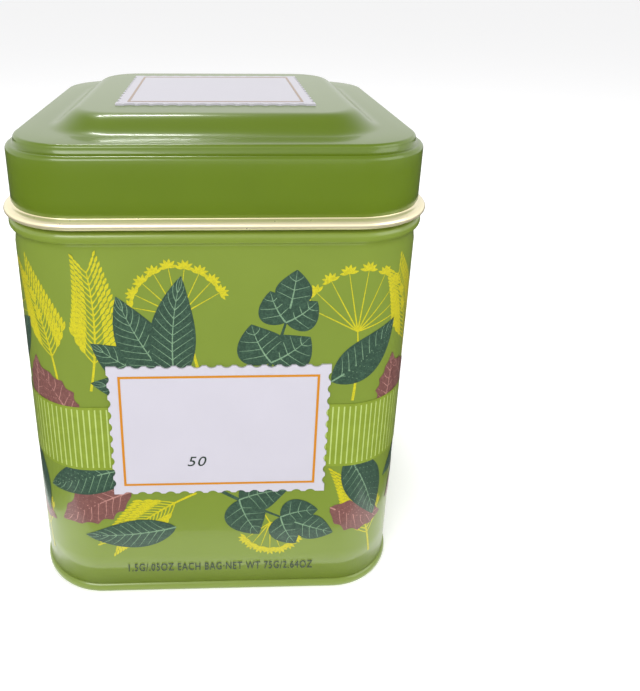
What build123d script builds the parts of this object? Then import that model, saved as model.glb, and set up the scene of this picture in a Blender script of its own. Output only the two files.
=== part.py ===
"""A shut square tea tin with a stepped, rolled-edge lid and two scalloped labels.

Millimetres, +Z up, +X to the right, and the front faces -Y.
The origin is the middle of the rim that the tin stands on.
"""
from build123d import *
import os

# Plan of the tin
width = 106.0
depth = 106.0
corner_radius = 19.0

# Seamed bottom end
seam_height = 3.2
seam_proud = 0.7
rim_width = 3.0
panel_recess = 1.2

# Body
body_top = 115.0
bead_height = 3.0
bead_proud = 1.2
bead_below_lid = 0.6

# Lid
roll_height = 2.6
roll_proud = 2.0
skirt_top = 132.9
skirt_round = 1.0
step_inset = 2.1
step_height = 2.3
step_round = 0.8

# Raised panel on the lid
panel_foot_margin = 8.5
panel_height = 4.5
panel_taper = 66.0
panel_corner_radius = 18.5
panel_top_round = 16.0
panel_foot_round = 16.0

# Tolerance for finding edges by their place
edge_search = 0.01

# Labels
label_thickness = 0.5
scallop_pitch = 3.9
scallop_depth = 0.7
valley_radius = 1.7
front_label_width = 58.6
front_label_height = 41.0
front_label_middle = 57.0
front_label_shift = 0.5
lid_label_width = 53.0
lid_label_depth = 51.5


def outline(offset=0.0):
    """Rounded plan of the tin, grown outward by offset."""
    return RectangleRounded(width + 2 * offset, depth + 2 * offset, corner_radius + offset)


def slab(offset, low, high):
    """A plate of the tin's plan between two heights."""
    return extrude(Pos(0, 0, low) * outline(offset), high - low)


def rounded_slab(offset, low, high, radius):
    """A plate whose upper and lower outer edges are rounded."""
    plate = slab(offset, low, high)
    rims = plate.faces().sort_by(Axis.Z)
    return fillet(rims[0].edges() + rims[-1].edges(), radius)


def bottom_end():
    """Seamed end: a rounded rim with the panel set up inside it."""
    end = rounded_slab(seam_proud, 0, seam_height, 0.45 * seam_height)
    return end - slab(-rim_width, 0, panel_recess)


def tin_body():
    """The filled body with the outward bead just under the lid."""
    bead_top = body_top - bead_below_lid
    bead = rounded_slab(bead_proud, bead_top - bead_height, bead_top, 0.9 * bead_proud)
    return slab(0, seam_height, body_top) + bead


def raised_panel(low):
    """Low tapered panel with a soft upper edge."""
    foot = RectangleRounded(
        width - 2 * panel_foot_margin, depth - 2 * panel_foot_margin, panel_corner_radius
    )
    return extrude(Pos(0, 0, low) * foot, panel_height, taper=panel_taper)


def panel_foot_edges(cap, top):
    """Edges where the raised panel meets the flat top, which lie inside the panel's plan."""
    limit_x = width / 2 - panel_foot_margin + edge_search
    limit_y = depth / 2 - panel_foot_margin + edge_search
    level = cap.edges().filter_by_position(Axis.Z, top - edge_search, top + edge_search)
    return [
        edge
        for edge in level
        if abs(edge.center().X) < limit_x and abs(edge.center().Y) < limit_y
    ]


def lid():
    """Skirt with its rolled lower edge, the step, the flat top and the raised panel."""
    skirt = slab(0, body_top, skirt_top)
    skirt = fillet(skirt.faces().sort_by(Axis.Z)[-1].edges(), skirt_round)
    roll = rounded_slab(roll_proud, body_top, body_top + roll_height, 0.45 * roll_height)
    top = skirt_top + step_height
    step = slab(-step_inset, skirt_top - skirt_round, top)
    step = fillet(step.faces().sort_by(Axis.Z)[-1].edges(), step_round)
    cap = skirt + roll + step + raised_panel(top)
    crown = cap.faces().sort_by(Axis.Z)[-1].edges()
    cap = fillet(crown, panel_top_round)
    return fillet(panel_foot_edges(cap, top), panel_foot_round)


def scalloped(across, along):
    """Flat outline with evenly spaced round valleys along its edges and whole corners."""
    plate = Rectangle(across, along)
    count_x = round(across / scallop_pitch)
    count_y = round(along / scallop_pitch)
    centre_x = across / 2 + valley_radius - scallop_depth
    centre_y = along / 2 + valley_radius - scallop_depth
    for side in (-1, 1):
        for number in range(1, count_x):
            x = across * (number / count_x - 0.5)
            plate -= Pos(x, side * centre_y) * Circle(valley_radius)
        for number in range(1, count_y):
            y = along * (number / count_y - 0.5)
            plate -= Pos(side * centre_x, y) * Circle(valley_radius)
    return plate


def front_label():
    """Scalloped plate lying on the flat of the front wall."""
    wall = Plane(
        origin=(front_label_shift, -depth / 2, front_label_middle), x_dir=(1, 0, 0), z_dir=(0, -1, 0)
    )
    return extrude(wall * scalloped(front_label_width, front_label_height), label_thickness)


def lid_label():
    """Scalloped plate lying on the raised panel."""
    top = skirt_top + step_height + panel_height
    return extrude(Pos(0, 0, top) * scalloped(lid_label_width, lid_label_depth), label_thickness)


os.makedirs("parts", exist_ok=True)
export_step(bottom_end(), "parts/bottom_end.step")
export_step(tin_body(), "parts/tin_body.step")
export_step(lid(), "parts/lid.step")
export_step(front_label(), "parts/front_label.step")
export_step(lid_label(), "parts/lid_label.step")
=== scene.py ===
"""Looks of a square green tea tin: lacquered tinplate, printed leaves and two labels."""
import math

import bpy
from mathutils import Matrix, Vector


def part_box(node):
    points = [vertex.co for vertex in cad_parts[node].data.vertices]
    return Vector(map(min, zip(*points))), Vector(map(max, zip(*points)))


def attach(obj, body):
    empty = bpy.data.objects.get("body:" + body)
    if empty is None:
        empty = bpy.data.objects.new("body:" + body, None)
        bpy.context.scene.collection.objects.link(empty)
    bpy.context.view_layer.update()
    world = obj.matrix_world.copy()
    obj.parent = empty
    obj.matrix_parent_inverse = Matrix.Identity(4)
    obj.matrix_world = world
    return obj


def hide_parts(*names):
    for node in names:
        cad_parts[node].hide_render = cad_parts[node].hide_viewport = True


bl_info = {
    "name": "Tea Tin",
    "version": (1, 0, 0),
    "blender": (4, 5, 0),
    "location": "View3D > Sidebar > Tea Tin",
    "description": "Builds the finish, print and labels of a shut square tea tin",
    "category": "Object",
}

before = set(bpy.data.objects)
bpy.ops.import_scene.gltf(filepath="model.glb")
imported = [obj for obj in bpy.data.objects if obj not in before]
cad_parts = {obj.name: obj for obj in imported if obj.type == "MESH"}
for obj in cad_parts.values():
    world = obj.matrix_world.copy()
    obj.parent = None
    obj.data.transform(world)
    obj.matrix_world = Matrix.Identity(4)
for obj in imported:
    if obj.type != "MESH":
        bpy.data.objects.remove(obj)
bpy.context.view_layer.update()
MM = 0.001

FRONT_LOW, FRONT_HIGH = (Vector(c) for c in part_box("front_label"))
TOP_LOW, TOP_HIGH = (Vector(c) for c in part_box("lid_label"))

WALL_Y = FRONT_HIGH.y                  # front wall, where the label lies on it
HALF = -WALL_Y                         # half the width of the square plan
SEAM_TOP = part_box("bottom_end")[1][2]
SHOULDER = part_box("tin_body")[1][2]    # where the lid meets the body
PANEL_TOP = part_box("lid")[1][2]        # top of the raised panel

# Camera: place in metres, then yaw, pitch and roll in radians, lens in mm and shift as a share
CAMERA_PLACE = (0.0, -0.2046, 0.1725)
CAMERA_TURN = (-0.037, 0.363, 0.0079)
CAMERA_LENS = 35.26
CAMERA_SHIFT = (0.1158, -0.1671)

# Heights of the printed layers over the wall, from the lowest: strokes, leaves, band, stripes
STROKE_LIFT, STROKE_STEP, STROKE_LEVELS = 0.005 * MM, 0.0002 * MM, 96
LEAF_LIFT, LEAF_STEP, LEAF_LEVELS = 0.03 * MM, 0.003 * MM, 36
BAND_LIFT, STRIPE_LIFT = 0.15 * MM, 0.16 * MM
VEIN_RISE, RIB_RISE = 0.001 * MM, 0.002 * MM

# Material slots of the printed film
LEAF, LEAF_VEIN, YELLOW, BROWN, BROWN_VEIN, BAND, STRIPE = range(7)


# ---------------------------------------------------------------- settings


def length(name, description, default):
    """A size in metres, shown in the scene's unit."""
    return bpy.props.FloatProperty(
        name=name, description=description, default=default, subtype="DISTANCE", unit="LENGTH"
    )


def colour(name, description, default):
    """An sRGB hex value, kept as text."""
    return bpy.props.StringProperty(name=name, description=description, default=default)


class TinSizes(bpy.types.PropertyGroup):
    corner: length("Corner radius", "Radius of the upright corners", 19.0 * MM)
    seam_proud: length("Seam proud", "How far the bottom seam stands out", 0.7 * MM)
    bead_proud: length("Bead proud", "How far the bead under the lid stands out", 1.2 * MM)
    bead_height: length("Bead height", "Height of the bead under the lid", 3.0 * MM)
    roll_proud: length("Roll proud", "How far the rolled edge stands out", 2.0 * MM)
    roll_height: length("Roll height", "Height of the rolled edge", 2.6 * MM)
    step_inset: length("Step inset", "How far the lid's step goes in", 2.1 * MM)
    step_height: length("Step height", "Height of the lid's step", 2.3 * MM)
    panel_height: length("Panel height", "Height of the raised panel", 4.5 * MM)
    panel_margin: length("Panel margin", "Lid edge to the panel's foot", 8.5 * MM)
    panel_corner: length("Panel corner", "Corner radius of the raised panel's foot", 18.5 * MM)
    rim_width: length("Rim width", "Width of the rim that the tin stands on", 3.0 * MM)
    end_recess: length("End recess", "How far the bottom panel is set up inside its rim", 1.2 * MM)
    panel_slope: length("Panel slope", "Width of the panel's soft slope", 10.1 * MM)
    band_low: length("Band low", "Lower edge of the striped band", 44.6 * MM)
    band_high: length("Band high", "Upper edge of the striped band", 65.0 * MM)
    stripe_pitch: length("Stripe pitch", "Spacing of the stripes on the band", 1.55 * MM)
    label_margin: length("Ruled line margin", "Label edge to its ruled line", 2.9 * MM)
    rule_width: length("Ruled line width", "Width of the ruled line", 0.65 * MM)


class TinColours(bpy.types.PropertyGroup):
    lid_green: colour("Lid green", "Lacquer of the lid", "#566C00")
    wall_green: colour("Wall green", "Printed ground of the body", "#70832A")
    gold: colour("Gold lacquer", "Lacquer of the rolled edge", "#FBF0C8")
    leaf: colour("Leaf green", "Dark leaves", "#2C4436")
    leaf_vein: colour("Leaf vein", "Veins of the dark leaves", "#66856A")
    leaf_light: colour("Leaf light", "Second tone of the dark leaves", "#3A5644")
    vein_light: colour("Vein light", "Second tone of their veins", "#7B9A78")
    yellow: colour("Yellow", "Yellow sprays", "#BDB40A")
    yellow_dark: colour("Yellow dark", "Second tone of the yellow sprays", "#A5A012")
    brown: colour("Brown", "Brown leaves", "#6B4440")
    brown_vein: colour("Brown vein", "Veins of the brown leaves", "#A2746C")
    brown_light: colour("Brown light", "Second tone of the brown leaves", "#7C514B")
    brown_vein_light: colour("Brown vein light", "Second tone of their veins", "#B5857B")
    band: colour("Band", "Ground of the striped band", "#778A24")
    band_stripe: colour("Band stripe", "Stripes of the band", "#A3B565")
    band_light: colour("Band light", "Second tone of the band", "#7E912A")
    stripe_light: colour("Stripe light", "Second tone of the stripes", "#ABBD6D")
    label: colour("Label", "Ground of the labels", "#B8B5BF")
    rule: colour("Ruled line", "Line on the front label", "#BD7A00")
    top_rule: colour("Lid ruled line", "Line on the lid label", "#8A6A4A")
    ink: colour("Ink", "Weights and number", "#24362A")


def to_linear(code):
    """One sRGB hex value as linear colour."""
    parts = [int(code[i : i + 2], 16) / 255 for i in (1, 3, 5)]
    return tuple(c / 12.92 if c <= 0.04045 else ((c + 0.055) / 1.055) ** 2.4 for c in parts) + (1.0,)


# --------------------------------------------------------------- materials


def add_node(tree, kind, settings=None, inputs=None, links=None):
    """Add a node, set its properties and inputs, and link its inputs from other sockets."""
    node = tree.nodes.new(kind)
    for key, value in (settings or {}).items():
        setattr(node, key, value)
    for key, value in (inputs or {}).items():
        node.inputs[key].default_value = value
    for key, socket in (links or {}).items():
        tree.links.new(socket, node.inputs[key])
    return node


def new_material(name, shader_inputs):
    """A material with only its main shader, and that shader."""
    material = bpy.data.materials.new(name)
    material.use_nodes = True
    shader = material.node_tree.nodes["Principled BSDF"]
    for key, value in shader_inputs.items():
        shader.inputs[key].default_value = value
    return material, shader


def mottled(tree, fac, low, high, colours):
    """A colour that goes from one tone to another between two noise levels."""
    ramp = add_node(tree, "ShaderNodeValToRGB", None, None, {"Fac": fac})
    for stop, position, tone in zip(ramp.color_ramp.elements, (low, high), colours):
        stop.position = position
        stop.color = tone
    return ramp.outputs["Color"]


def lacquered_tinplate(name, code, roughness, mottle):
    """Litho ink under clear lacquer on rolled tinplate: smooth, glossy and very slightly wavy.

    The ink lies in faint clouds about 14 mm wide. The lacquer's orange peel is about 2 mm wide,
    and breaks up reflections a little.
    """
    material, shader = new_material(
        name, {"Roughness": roughness, "IOR": 1.5, "Coat Weight": 0.35, "Coat Roughness": 0.06}
    )
    tree = material.node_tree
    place = add_node(tree, "ShaderNodeTexCoord")
    cloud = add_node(
        tree, "ShaderNodeTexNoise", None, {"Scale": 1 / (14 * MM), "Detail": 3.0},
        {"Vector": place.outputs["Object"]},
    )
    base = to_linear(code)
    tones = [tuple(c * (1 + change) for c in base[:3]) + (1,) for change in (-mottle, mottle)]
    tree.links.new(mottled(tree, cloud.outputs["Fac"], 0.3, 0.7, tones), shader.inputs["Base Color"])
    peel = add_node(
        tree, "ShaderNodeTexNoise", None, {"Scale": 1 / (2 * MM), "Detail": 2.0},
        {"Vector": place.outputs["Object"]},
    )
    bump = add_node(
        tree, "ShaderNodeBump", None, {"Strength": 0.05, "Distance": 0.02 * MM},
        {"Height": peel.outputs["Fac"]},
    )
    tree.links.new(bump.outputs["Normal"], shader.inputs["Normal"])
    return material


def gold_lacquer(name, code):
    """Tinplate under a gold varnish: warm metal with a soft bright line along the roll."""
    material, shader = new_material(name, {"Metallic": 0.7, "Coat Weight": 0.3})
    tree = material.node_tree
    place = add_node(tree, "ShaderNodeTexCoord")
    grain = add_node(
        tree, "ShaderNodeTexNoise", None, {"Scale": 1 / (1.2 * MM), "Detail": 3.0},
        {"Vector": place.outputs["Object"]},
    )
    rough = add_node(
        tree, "ShaderNodeMapRange", None, {"To Min": 0.24, "To Max": 0.36},
        {"Value": grain.outputs["Fac"]},
    )
    tree.links.new(rough.outputs["Result"], shader.inputs["Roughness"])
    shader.inputs["Base Color"].default_value = to_linear(code)
    return material


def printed_ink(name, code, second, grain_mm):
    """Litho ink under the same lacquer: two close tones, mottled together."""
    material, shader = new_material(
        name, {"Roughness": 0.3, "IOR": 1.5, "Coat Weight": 0.3, "Coat Roughness": 0.08}
    )
    tree = material.node_tree
    place = add_node(tree, "ShaderNodeTexCoord")
    wave = add_node(
        tree, "ShaderNodeTexNoise", None,
        {"Scale": 1 / (grain_mm * MM), "Detail": 4.0, "Distortion": 1.5},
        {"Vector": place.outputs["Object"]},
    )
    tones = (to_linear(code), to_linear(second))
    tree.links.new(mottled(tree, wave.outputs["Fac"], 0.42, 0.66, tones), shader.inputs["Base Color"])
    return material


# ------------------------------------------------------------ mesh helpers


def make_object(name, vertices, faces, materials, face_slots=None, smooth=True):
    """A mesh object in the scene, with its materials."""
    mesh = bpy.data.meshes.new(name)
    mesh.from_pydata([tuple(v) for v in vertices], [], faces)
    for material in materials:
        mesh.materials.append(material)
    if face_slots:
        mesh.polygons.foreach_set("material_index", face_slots)
    mesh.polygons.foreach_set("use_smooth", [smooth] * len(mesh.polygons))
    mesh.update()
    thing = bpy.data.objects.new(name, mesh)
    bpy.context.scene.collection.objects.link(thing)
    return thing


def plan_ring(half, radius, z, corner_steps=32, side_steps=12):
    """Points round a rounded square, counter-clockwise from the middle of the front."""
    points = []
    flat = half - radius
    for quarter in range(4):
        turn = Matrix.Rotation(quarter * math.pi / 2, 3, "Z")
        side = [(-flat + 2 * flat * i / side_steps, -half) for i in range(side_steps)]
        arc = [
            (flat + radius * math.sin(a), -flat - radius * math.cos(a))
            for a in (math.pi / 2 * i / corner_steps for i in range(corner_steps))
        ]
        points += [turn @ Vector((x, y, 0)) + Vector((0, 0, z)) for x, y in side + arc]
    return points


def swept_shell(name, profile, materials, slots=None):
    """Closed skin through rings given as (half width, corner radius, height), with both ends capped."""
    rings = [plan_ring(half, radius, z) for half, radius, z in profile]
    count = len(rings[0])
    vertices = [point for ring in rings for point in ring]
    faces, face_slots = [], []
    for level in range(len(rings) - 1):
        for i in range(count):
            j = (i + 1) % count
            a, b = level * count, (level + 1) * count
            faces.append((a + i, a + j, b + j, b + i))
            face_slots.append(slots[level] if slots else 0)
    faces.append(tuple(reversed(range(count))))
    faces.append(tuple(range((len(rings) - 1) * count, len(rings) * count)))
    face_slots += [0, 0]
    return make_object(name, vertices, faces, materials, face_slots)


def half_round(half, corner, low, high, proud, steps=10):
    """Profile stations of a rounded bead between two heights."""
    middle, rise = (low + high) / 2, (high - low) / 2
    stations = []
    for i in range(steps + 1):
        angle = -math.pi / 2 + math.pi * i / steps
        out = proud * max(0.0, math.cos(angle)) ** 0.8
        stations.append((half + out, corner + out, middle + rise * math.sin(angle)))
    return stations


def soft_edge(half, corner, z, radius, steps=6):
    """Profile stations of a rounded outer edge that ends at height z."""
    stations = []
    for i in range(steps + 1):
        angle = math.pi / 2 * i / steps
        inward = radius * (1 - math.cos(angle))
        stations.append((half - inward, corner - inward, z - radius + radius * math.sin(angle)))
    return stations


# ------------------------------------------------------- printed film on walls


class Film:
    """Collects thin printed shapes laid round the body's wall."""

    def __init__(self, corner):
        self.corner = corner
        self.vertices, self.faces, self.slots = [], [], []
        self.leaves = 0
        self.strokes = 0

    def leaf_lift(self):
        """Height of the next leaf over the wall: no two leaves on one side share a surface."""
        self.leaves += 1
        return LEAF_LIFT + LEAF_STEP * (self.leaves % LEAF_LEVELS)

    def stroke_lift(self):
        """Height of the next thin stroke over the wall, below all the leaves."""
        self.strokes += 1
        return STROKE_LIFT + STROKE_STEP * (self.strokes % STROKE_LEVELS)

    def on_wall(self, s, z, lift):
        """A place on the wall: s runs round it from the middle of the front, rightward."""
        flat = HALF - self.corner
        quarter_length = 2 * flat + math.pi / 2 * self.corner
        shifted = s + flat
        quarter = math.floor(shifted / quarter_length)
        along = shifted - quarter * quarter_length
        if along <= 2 * flat:
            point = Vector((-flat + along, -HALF - lift, 0))
        else:
            angle = (along - 2 * flat) / self.corner
            reach = self.corner + lift
            point = Vector((flat + reach * math.sin(angle), -flat - reach * math.cos(angle), 0))
        point = Matrix.Rotation(quarter * math.pi / 2, 3, "Z") @ point
        point.z = z
        return point

    def strip(self, left, right, lift, slot):
        """A ribbon between two rows of (s, z) points."""
        start = len(self.vertices)
        for a, b in zip(left, right):
            self.vertices += [self.on_wall(*a, lift), self.on_wall(*b, lift)]
        for i in range(len(left) - 1):
            k = start + 2 * i
            self.faces.append((k, k + 1, k + 3, k + 2))
            self.slots.append(slot)

    def rectangle(self, s0, s1, z0, z1, lift, slot, step=1.5 * MM):
        """A printed rectangle, in steps short enough to follow the rounded corners."""
        count = max(1, round((s1 - s0) / step))
        across = [s0 + (s1 - s0) * i / count for i in range(count + 1)]
        self.strip([(s, z1) for s in across], [(s, z0) for s in across], lift, slot)

    def line(self, path, widths, lift, slot):
        """A drawn stroke along (s, z) points, with a width at each point."""
        left, right = [], []
        for i, point in enumerate(path):
            before, after = path[max(0, i - 1)], path[min(len(path) - 1, i + 1)]
            ds, dz = after[0] - before[0], after[1] - before[1]
            size = math.hypot(ds, dz) or 1.0
            ns, nz = -dz / size, ds / size
            w = widths[i] / 2
            left.append((point[0] + ns * w, point[1] + nz * w))
            right.append((point[0] - ns * w, point[1] - nz * w))
        self.strip(left, right, lift, slot)


def bend_point(foot, heading, along, side, curl):
    """A point beside a gently curved midrib, in wall coordinates."""
    angle = heading + curl * along
    mid = heading + curl * along / 2
    s = foot[0] + along * math.cos(mid) - side * math.sin(angle)
    z = foot[1] + along * math.sin(mid) + side * math.cos(angle)
    return s, z


def leaf(film, foot, heading_deg, size, breadth, colours, curl_deg=18.0, lobes=0):
    """A broad printed leaf: blade, midrib and curved side veins; lobes cut waves in its edge."""
    blade, vein = colours
    lift = film.leaf_lift()
    heading = math.radians(heading_deg)
    curl = math.radians(curl_deg) / size
    steps, rib_steps, vein_steps = 28, 12, 5
    vein_spacing, rib_width, vein_width = 2.6 * MM, 0.5 * MM, 0.22 * MM

    def half_width(t):
        """Half the blade's width, a share t of the way from foot to tip."""
        shape = math.sin(math.pi * t**0.8) ** 0.9
        wave = 1 - 0.22 * abs(math.sin(math.pi * lobes * t)) if lobes else 1.0
        return breadth / 2 * shape * wave

    for side in (-1, 1):
        rows = [t / steps for t in range(steps + 1)]
        columns = [
            [bend_point(foot, heading, t * size, side * half_width(t) * share, curl) for t in rows]
            for share in (0.0, 0.2, 0.4, 0.6, 0.8, 1.0)
        ]
        for inner, outer in zip(columns, columns[1:]):
            film.strip(outer, inner, lift, blade)
    along = range(rib_steps + 1)
    rib = [bend_point(foot, heading, t / rib_steps * size * 0.97, 0.0, curl) for t in along]
    film.line(rib, [rib_width * (1 - t / (rib_steps + 2)) for t in along], lift + RIB_RISE, vein)
    pairs = max(4, round(size / vein_spacing))
    out = range(vein_steps + 1)
    for number in range(1, pairs):
        t = number / pairs * 0.9 + 0.03
        for side in (-1, 1):
            path = []
            for k in out:
                u = k / vein_steps
                place = min(0.985, t + 0.14 * u)
                width = half_width(place) * 0.9 * u
                path.append(bend_point(foot, heading, place * size, side * width, curl))
            widths = [vein_width * (1 - 0.6 * k / vein_steps) for k in out]
            film.line(path, widths, lift + VEIN_RISE, vein)


def stem(film, start, heading_deg, size, width, slot, curl_deg=12.0):
    """A tapering drawn stem; returns the (s, z) of places along it."""
    heading, curl = math.radians(heading_deg), math.radians(curl_deg) / size
    path = [bend_point(start, heading, t / 20 * size, 0.0, curl) for t in range(21)]
    film.line(path, [width * (1 - 0.6 * t / 20) for t in range(21)], film.stroke_lift(), slot)
    return path


def leafy_sprig(film, foot, heading_deg, size, colours, pairs, breadth):
    """A twig with paired pointed leaves that get smaller towards its tip."""
    path = stem(film, foot, heading_deg, size, 1.3 * MM, colours[0])
    for pair in range(pairs):
        where = path[round((pair + 1) / (pairs + 0.3) * 19)]
        grow = 1 - 0.42 * pair / pairs
        for side in (-1, 1):
            leaf(
                film, where, heading_deg + side * 52 + 10, size * 0.46 * grow, breadth * grow, colours,
                curl_deg=-side * 26,
            )
    leaf(film, path[-1], heading_deg + 12, size * 0.4, breadth * 0.75, colours, curl_deg=8)


def grass_ear(film, foot, heading_deg, size, slot):
    """A yellow ear of grass: a thin stem with many small pointed grains on short stalks."""
    path = stem(film, foot, heading_deg, size, 0.7 * MM, slot, curl_deg=20)
    for number in range(5, 21):
        grow = 1 - 0.6 * (number - 5) / 16
        for side in (-1, 1):
            turn = heading_deg + number + side * (38 + 8 * grow)
            reach = 7.5 * MM * grow + 1.2 * MM
            tip = stem(film, path[number], turn, reach, 0.4 * MM, slot, curl_deg=-side * 20)
            for knot in (8, 13, 20):
                grain(film, tip[knot], turn - side * 14, 2.6 * MM * grow + 0.7 * MM, slot)


def grain(film, foot, heading_deg, size, slot):
    """One small pointed grain."""
    heading = math.radians(heading_deg)
    path = [bend_point(foot, heading, size * t / 5, 0.0, 0.0) for t in range(6)]
    widths = [size * 0.36 * math.sin(math.pi * (t + 0.15) / 5.3) for t in range(6)]
    film.line(path, widths, film.stroke_lift(), slot)


def umbel(film, foot, heading_deg, size, slot):
    """A yellow flower head: rays that spread from one point, each with a cluster of small grains."""
    path = stem(film, foot, heading_deg, size * 0.55, 0.8 * MM, slot)
    for ray in range(9):
        turn = heading_deg + (ray - 4) * 17
        reach = size * (0.45 - 0.012 * abs(ray - 4))
        tip = stem(film, path[-1], turn, reach, 0.4 * MM, slot, curl_deg=0)
        for bud in range(6):
            grain(film, tip[-1], turn + (bud - 2.5) * 34, 2.4 * MM, slot)


# ----------------------------------------------------------------- operators


def palette():
    """The tin's colours as set in the scene."""
    return bpy.context.scene.tea_tin_colours


def sizes():
    """The tin's sizes as set in the scene."""
    return bpy.context.scene.tea_tin_sizes


def put(piece):
    """Fix a piece to the tin."""
    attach(piece, "root")


class BuildBottomEnd(bpy.types.Operator):
    """Make the seamed bottom end with its recessed panel"""

    bl_idname = "teatin.bottom_end"
    bl_label = "Bottom end"

    def execute(self, context):
        size = sizes()
        lacquer = lacquered_tinplate("green_litho_tinplate_base", palette().wall_green, 0.28, 0.02)
        inner, inner_corner = HALF - size.rim_width, size.corner - size.rim_width
        rim_edge, sunk, tuck = 0.3 * MM, 0.8 * MM, 1.5 * MM
        profile = [(inner, inner_corner, size.end_recess), (inner, inner_corner, rim_edge)]
        profile += half_round(HALF - sunk, size.corner - sunk, 0.0, SEAM_TOP, size.seam_proud + sunk, 12)
        profile += [(HALF - tuck, size.corner - tuck, SEAM_TOP)]
        piece = swept_shell("seamed_bottom_end", profile, [lacquer])
        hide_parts("bottom_end")
        put(piece)
        return {"FINISHED"}


class BuildBody(bpy.types.Operator):
    """Make the body wall with the bead under the lid"""

    bl_idname = "teatin.body"
    bl_label = "Body"

    def execute(self, context):
        size = sizes()
        lacquer = lacquered_tinplate("green_litho_tinplate_wall", palette().wall_green, 0.3, 0.025)
        bead_gap, hidden, overlap = 0.6 * MM, 2 * MM, 0.4 * MM
        plain, hollow, hollow_drop, sunk = 4 * MM, 0.3 * MM, 1.8 * MM, 0.1 * MM
        bead_top = SHOULDER - bead_gap
        bead_low = bead_top - size.bead_height
        profile = [(HALF - hidden, size.corner - hidden, SEAM_TOP - overlap)]
        profile += [(HALF, size.corner, SEAM_TOP - overlap)]
        levels = 10
        rise = bead_low - plain - SEAM_TOP
        profile += [(HALF, size.corner, SEAM_TOP + rise * i / levels) for i in range(1, levels + 1)]
        profile += [(HALF - hollow, size.corner - hollow, bead_low - hollow_drop)]
        profile += half_round(HALF - sunk, size.corner - sunk, bead_low, bead_top, size.bead_proud)
        profile += [(HALF - bead_gap, size.corner - bead_gap, SHOULDER)]
        piece = swept_shell("tin_wall", profile, [lacquer])
        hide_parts("tin_body")
        put(piece)
        return {"FINISHED"}


class BuildLid(bpy.types.Operator):
    """Make the lid: gold rolled edge, skirt, step, flat top and raised panel"""

    bl_idname = "teatin.lid"
    bl_label = "Lid"

    def execute(self, context):
        size = sizes()
        lacquer = lacquered_tinplate("green_lid_lacquer", palette().lid_green, 0.3, 0.02)
        gold = gold_lacquer("gold_varnished_tinplate", palette().gold)
        panel_foot = PANEL_TOP - size.panel_height
        skirt_top = panel_foot - size.step_height
        profile, gold_bands = self.roll_and_skirt(size, skirt_top)
        profile += self.step(size, skirt_top, panel_foot)
        profile += self.raised_panel(size, panel_foot)
        slots = [1 if i < gold_bands else 0 for i in range(len(profile))]
        piece = swept_shell("stepped_lid", profile, [lacquer, gold], slots)
        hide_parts("lid")
        put(piece)
        return {"FINISHED"}

    def roll_and_skirt(self, size, skirt_top):
        """Stations of the rolled edge, the groove over it and the skirt; and how many are gold."""
        hidden, sunk, groove_rise, skirt_start = 1 * MM, 0.4 * MM, 0.2 * MM, 1.0 * MM
        groove = SHOULDER + size.roll_height
        stations = [(HALF - hidden, size.corner - hidden, SHOULDER)]
        bulge = size.roll_proud + sunk
        stations += half_round(HALF - sunk, size.corner - sunk, SHOULDER, groove, bulge, 14)
        gold_bands = len(stations)
        stations += [(HALF - sunk, size.corner - sunk, groove + groove_rise)]
        stations += [(HALF, size.corner, groove + skirt_start)]
        stations += [(HALF, size.corner, groove + (skirt_top - groove) * t) for t in (0.3, 0.5, 0.7)]
        stations += soft_edge(HALF, size.corner, skirt_top, 1.2 * MM)
        return stations, gold_bands

    def step(self, size, skirt_top, panel_foot):
        """Stations of the small step, from the ledge on the skirt up to the flat top."""
        ledge, corner = HALF - size.step_inset, size.corner - size.step_inset
        cove, cove_end, cove_rise = 0.5 * MM, 0.1 * MM, 0.25 * MM
        stations = [(ledge + cove, corner + cove, skirt_top)]
        stations += [(ledge + cove_end, corner + cove_end, skirt_top + cove_rise)]
        return stations + soft_edge(ledge, corner, panel_foot, 0.9 * MM)

    def raised_panel(self, size, panel_foot):
        """Stations of the panel's slope, level at its foot and at its top."""
        foot, corner = HALF - size.panel_margin, size.panel_corner
        apron, inset, steps = 1.5 * MM, 2 * MM, 18
        stations = [(foot + apron, corner + apron, panel_foot)]
        for i in range(steps + 1):
            t = i / steps
            rise = t * t * t * (t * (6 * t - 15) + 10)
            inward = size.panel_slope * t
            stations.append((foot - inward, corner - inward, panel_foot + size.panel_height * rise))
        inward = size.panel_slope + inset
        return stations + [(foot - inward, corner - inward, PANEL_TOP)]


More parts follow.
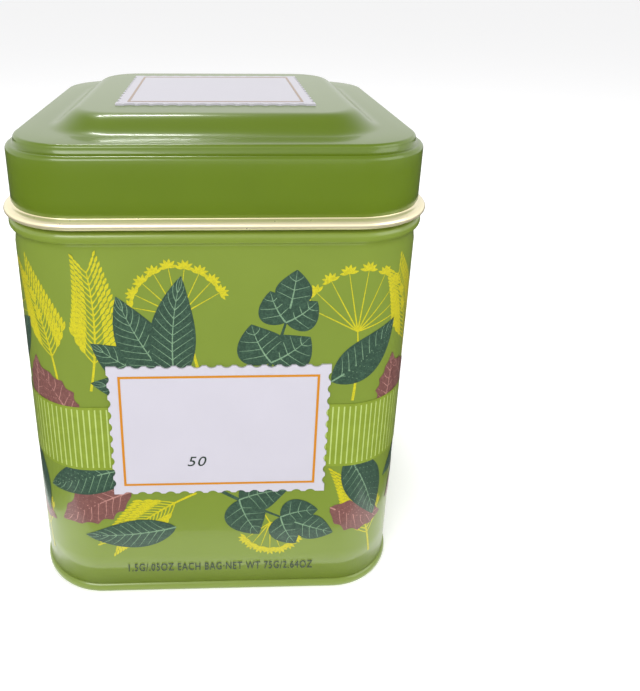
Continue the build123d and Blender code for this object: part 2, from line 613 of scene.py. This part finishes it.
class BuildLabels(bpy.types.Operator):
    """Finish the two scalloped labels and add their ruled lines"""

    bl_idname = "teatin.labels"
    bl_label = "Labels"

    def execute(self, context):
        size, inks = sizes(), palette()
        # Satin white coating over print: soft highlight, faint cool mottling.
        paper = lacquered_tinplate("satin_white_label", inks.label, 0.42, 0.012)
        for node in ("front_label", "lid_label"):
            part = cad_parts[node]
            part.data.materials.clear()
            part.data.materials.append(paper)
        orange = printed_ink("orange_ruled_ink", inks.rule, inks.rule, 1.0)
        bronze = printed_ink("bronze_ruled_ink", inks.top_rule, inks.top_rule, 1.0)
        middle, half = (FRONT_LOW + FRONT_HIGH) / 2, (FRONT_HIGH - FRONT_LOW) / 2
        upright = Matrix.Rotation(math.pi / 2, 4, "X")
        on_front = Matrix.Translation((middle.x, FRONT_LOW.y, middle.z)) @ upright
        self.rule("front_label_rule", orange, half.x, half.z, on_front, size)
        half = (TOP_HIGH - TOP_LOW) / 2
        self.rule("lid_label_rule", bronze, half.x, half.y, Matrix.Translation((0, 0, TOP_HIGH.z)), size)
        return {"FINISHED"}

    def rule(self, name, ink, half_x, half_y, place, size):
        """A thin printed frame line parallel to a label's edges."""
        margin, proud, sunk = size.label_margin, 0.06 * MM, 0.02 * MM
        vertices, faces = [], []
        corners = ((-1, -1), (1, -1), (1, 1), (-1, 1))
        for height in (proud, -sunk):
            for inset in (margin, margin + size.rule_width):
                x, y = half_x - inset, half_y - inset
                vertices += [place @ Vector((sx * x, sy * y, height)) for sx, sy in corners]
        for i in range(4):
            j = (i + 1) % 4
            faces += [
                (i, j, 4 + j, 4 + i), (8 + j, 8 + i, 12 + i, 12 + j), (i, 8 + i, 8 + j, j),
                (4 + j, 12 + j, 12 + i, 4 + i),
            ]
        piece = make_object(name, vertices, faces, [ink], smooth=False)
        put(piece)


class BuildPrint(bpy.types.Operator):
    """Lay the printed sprays of leaves and the striped band round the body"""

    bl_idname = "teatin.leaf_print"
    bl_label = "Leaf print"

    def execute(self, context):
        size, inks = sizes(), palette()
        film = Film(size.corner)
        side = 2 * (HALF - size.corner) + math.pi / 2 * size.corner
        for wall in range(4):
            self.draw_side(film, wall * side)
        self.draw_band(film, size, 4 * side)
        materials = [
            printed_ink("dark_green_litho_ink", inks.leaf, inks.leaf_light, 0.9),
            printed_ink("pale_green_litho_ink", inks.leaf_vein, inks.vein_light, 0.9),
            printed_ink("yellow_litho_ink", inks.yellow, inks.yellow_dark, 0.7),
            printed_ink("brown_litho_ink", inks.brown, inks.brown_light, 0.9),
            printed_ink("pink_litho_ink", inks.brown_vein, inks.brown_vein_light, 0.9),
            printed_ink("band_litho_ink", inks.band, inks.band_light, 6.0),
            printed_ink("stripe_litho_ink", inks.band_stripe, inks.stripe_light, 6.0),
        ]
        piece = make_object("leaf_print", film.vertices, film.faces, materials, film.slots)
        put(piece)
        return {"FINISHED"}

    def draw_side(self, film, s0):
        """One side's sprays, starting from the middle of that side."""
        green, brown = (LEAF, LEAF_VEIN), (BROWN, BROWN_VEIN)

        def at(s, z):
            return s0 + s * MM, z * MM

        # Yellow ears and flower heads lie under everything else
        grass_ear(film, at(-33, 70), 78, 34 * MM, YELLOW)
        grass_ear(film, at(-42, 72), 96, 30 * MM, YELLOW)
        umbel(film, at(36, 66), 84, 38 * MM, YELLOW)
        umbel(film, at(-5, 76), 100, 30 * MM, YELLOW)
        grass_ear(film, at(-6, 36), 206, 28 * MM, YELLOW)
        grass_ear(film, at(46, 10), 98, 32 * MM, YELLOW)
        umbel(film, at(10, 36), -72, 22 * MM, YELLOW)
        # Upper right: a twig with paired leaves
        leafy_sprig(film, at(10, 68), 66, 27 * MM, green, 2, 12.5 * MM)
        # Upper left: broad single leaves fanning from one point
        for turn, reach, wide in ((158, 25, 12), (128, 30, 13), (96, 32, 12), (186, 22, 10)):
            leaf(film, at(-11, 71), turn, reach * MM, wide * MM, green, curl_deg=-20)
        leaf(film, at(30, 72), 34, 24 * MM, 11 * MM, green, curl_deg=20)
        # Brown lobed leaves beside the band
        leaf(film, at(-38, 60), 118, 19 * MM, 11 * MM, brown, lobes=5)
        leaf(film, at(46, 60), 74, 18 * MM, 10 * MM, brown, lobes=5)
        leaf(film, at(-24, 37), 200, 24 * MM, 14 * MM, brown, lobes=5)
        leaf(film, at(32, 30), -30, 19 * MM, 12 * MM, brown, lobes=5)
        # Lower right: a stout twig with leaves to both sides
        leafy_sprig(film, at(-4, 40), -36, 30 * MM, green, 2, 12 * MM)
        leaf(film, at(-22, 45), 186, 28 * MM, 12 * MM, green, curl_deg=26)
        leaf(film, at(36, 48), -58, 26 * MM, 12 * MM, green, curl_deg=-18)
        leaf(film, at(-12, 24), 196, 26 * MM, 10 * MM, green, curl_deg=-22)

    def draw_band(self, film, size, round_length):
        """The striped band: short upright lines on a plain ground, all round the body."""
        low, high, end = size.band_low, size.band_high, round_length / 2
        film.rectangle(-end, end, low, high, BAND_LIFT, BAND)
        count = round(round_length / size.stripe_pitch)
        pitch = round_length / count
        margin, stripe = 0.8 * MM, 0.38 * MM
        for number in range(count):
            left = (number + 0.5) * pitch - end - stripe / 2
            film.rectangle(left, left + stripe, low + margin, high - margin, STRIPE_LIFT, STRIPE)


class BuildLettering(bpy.types.Operator):
    """Print the plain weights near the foot and the plain number on the front label"""

    bl_idname = "teatin.lettering"
    bl_label = "Lettering"

    def execute(self, context):
        ink = printed_ink("dark_green_type_ink", palette().ink, palette().ink, 1.0)
        centre = (FRONT_LOW.x + FRONT_HIGH.x) / 2
        weights = "1.5G/.05OZ EACH BAG\u00b7NET WT 75G/2.64OZ"
        foot = (centre, WALL_Y - 0.18 * MM, 7.7 * MM)
        self.line("printed_weights", weights, foot, 2.8 * MM, 54 * MM, 0.0, ink)
        on_label = (centre - 6.5 * MM, FRONT_LOW.y - 0.03 * MM, FRONT_LOW.z + 9.3 * MM)
        self.line("printed_number", "50", on_label, 3.2 * MM, 5.2 * MM, 0.25, ink)
        return {"FINISHED"}

    def line(self, name, words, place, height, width, slant, ink):
        """One line of type, centred, turned into a thin mesh that stands on the front."""
        capital_share = 0.7
        curve = bpy.data.curves.new(name, "FONT")
        curve.body = words
        curve.align_x = "CENTER"
        curve.size = height / capital_share
        curve.shear = slant
        curve.extrude = 0.02 * MM
        curve.resolution_u = 4
        curve.space_character = 1.12
        text = bpy.data.objects.new(name + "_curve", curve)
        bpy.context.scene.collection.objects.link(text)
        bpy.context.view_layer.update()
        mesh = bpy.data.meshes.new_from_object(text)
        bpy.data.objects.remove(text)
        across = [vertex.co.x for vertex in mesh.vertices]
        stretch = width / (max(across) - min(across))
        upright = Matrix.Translation(place) @ Matrix.Rotation(math.pi / 2, 4, "X")
        mesh.transform(upright @ Matrix.Diagonal((stretch, 1, 1, 1)))
        mesh.materials.clear()
        mesh.materials.append(ink)
        piece = bpy.data.objects.new(name, mesh)
        bpy.context.scene.collection.objects.link(piece)
        put(piece)


class BuildStage(bpy.types.Operator):
    """Set the floor, the soft studio lights and the camera"""

    bl_idname = "teatin.stage"
    bl_label = "Stage"

    def execute(self, context):
        self.floor()
        world = bpy.data.worlds.new("studio")
        bpy.context.scene.world = world
        world.use_nodes = True
        world.node_tree.nodes["Background"].inputs["Color"].default_value = (1, 1, 1, 1)
        self.dim_overhead(world.node_tree)
        self.flag()
        self.softbox("key", (-0.35, -0.75, 0.62), 0.5, 5.0)
        self.softbox("fill", (0.7, -0.4, 0.4), 0.6, 2.0)
        self.softbox("strip", (-0.12, 0.24, 0.62), 0.22, 1.2, 0.045)
        self.camera()
        context.scene.view_settings.view_transform = "Standard"
        return {"FINISHED"}

    def floor(self):
        """A matt white floor with a faint glow, wide enough to reach the top of the view."""
        white, shader = new_material(
            "pale_studio_floor",
            {"Roughness": 0.9, "Specular IOR Level": 0.0, "Emission Strength": 0.24},
        )
        shader.inputs["Base Color"].default_value = (0.97, 0.97, 0.975, 1)
        shader.inputs["Emission Color"].default_value = (1, 1, 1, 1)
        reach = 40.0
        corners = [(-reach, -reach, 0), (reach, -reach, 0), (reach, reach, 0), (-reach, reach, 0)]
        make_object("floor", corners, [(0, 1, 2, 3)], [white], smooth=False)

    def flag(self):
        """A dark card round the foot of the tin that only reflections see, to keep its colours deep."""
        near, far, height = 0.075, 0.9, 0.5 * MM
        vertices, faces = [], []
        corners = ((-1, -1), (1, -1), (1, 1), (-1, 1))
        for reach in (near, far):
            vertices += [(x * reach, y * reach, height) for x, y in corners]
        for i in range(4):
            j = (i + 1) % 4
            faces.append((i, 4 + i, 4 + j, j))
        card_mat, shader = new_material("dark_felt_card", {"Roughness": 0.9})
        shader.inputs["Base Color"].default_value = (0.03, 0.03, 0.03, 1)
        card = make_object("studio_card", vertices, faces, [card_mat], smooth=False)
        for ray in ("visible_camera", "visible_diffuse", "visible_shadow", "visible_transmission"):
            setattr(card, ray, False)

    def dim_overhead(self, tree):
        """White round the horizon and darker overhead, as in a tent with a dark ceiling."""
        direction = add_node(tree, "ShaderNodeTexCoord").outputs["Generated"]
        height = add_node(tree, "ShaderNodeSeparateXYZ", None, None, {"Vector": direction})
        glow = add_node(
            tree, "ShaderNodeMapRange", None,
            {"From Min": 0.5, "From Max": 0.8, "To Min": 1.0, "To Max": 0.45},
            {"Value": height.outputs["Z"]},
        )
        tree.links.new(glow.outputs["Result"], tree.nodes["Background"].inputs["Strength"])

    def softbox(self, name, place, size, power, depth=None):
        """An area light aimed at the middle of the tin; depth makes it a long strip."""
        light = bpy.data.lights.new(name, "AREA")
        light.size = size
        if depth:
            light.shape = "RECTANGLE"
            light.size_y = depth
        light.energy = power
        lamp = bpy.data.objects.new(name, light)
        lamp.location = place
        aim = Vector((0, 0, 0.08)) - Vector(place)
        lamp.rotation_euler = aim.to_track_quat("-Z", "Y").to_euler()
        bpy.context.scene.collection.objects.link(lamp)

    def camera(self):
        """A camera a little above the lid, in front of the tin."""
        data = bpy.data.cameras.new("camera")
        data.sensor_fit = "VERTICAL"
        data.sensor_height = 36.0
        data.lens = CAMERA_LENS
        data.shift_x, data.shift_y = CAMERA_SHIFT
        data.clip_start = 0.01
        camera = bpy.data.objects.new("camera", data)
        yaw, pitch, roll = CAMERA_TURN
        right = Vector((math.cos(yaw), math.sin(yaw), 0))
        level = math.cos(pitch)
        ahead = Vector((-math.sin(yaw) * level, math.cos(yaw) * level, -math.sin(pitch)))
        up = right.cross(ahead)
        turned_right = right * math.cos(roll) + up * math.sin(roll)
        turned_up = turned_right.cross(ahead)
        camera.matrix_world = Matrix(
            (
                (turned_right.x, turned_up.x, -ahead.x, CAMERA_PLACE[0]),
                (turned_right.y, turned_up.y, -ahead.y, CAMERA_PLACE[1]),
                (turned_right.z, turned_up.z, -ahead.z, CAMERA_PLACE[2]),
                (0, 0, 0, 1),
            )
        )
        bpy.context.scene.collection.objects.link(camera)
        bpy.context.scene.camera = camera


class TeaTinPanel(bpy.types.Panel):
    """Buttons and settings for the tea tin"""

    bl_idname = "VIEW3D_PT_tea_tin"
    bl_label = "Tea Tin"
    bl_space_type = "VIEW_3D"
    bl_region_type = "UI"
    bl_category = "Tea Tin"

    def draw(self, context):
        for operator in OPERATORS:
            self.layout.operator(operator.bl_idname)
        for group in (context.scene.tea_tin_sizes, context.scene.tea_tin_colours):
            for name in group.__annotations__:
                self.layout.prop(group, name)


OPERATORS = (BuildBottomEnd, BuildBody, BuildLid, BuildLabels, BuildPrint, BuildLettering, BuildStage)
CLASSES = (TinSizes, TinColours) + OPERATORS + (TeaTinPanel,)


def register():
    for cls in CLASSES:
        bpy.utils.register_class(cls)
    bpy.types.Scene.tea_tin_sizes = bpy.props.PointerProperty(type=TinSizes)
    bpy.types.Scene.tea_tin_colours = bpy.props.PointerProperty(type=TinColours)


def unregister():
    del bpy.types.Scene.tea_tin_colours
    del bpy.types.Scene.tea_tin_sizes
    for cls in reversed(CLASSES):
        bpy.utils.unregister_class(cls)


def main():
    register()
    for operator in OPERATORS:
        group, name = operator.bl_idname.split(".")
        getattr(getattr(bpy.ops, group), name)()


if __name__ == "__main__":
    main()
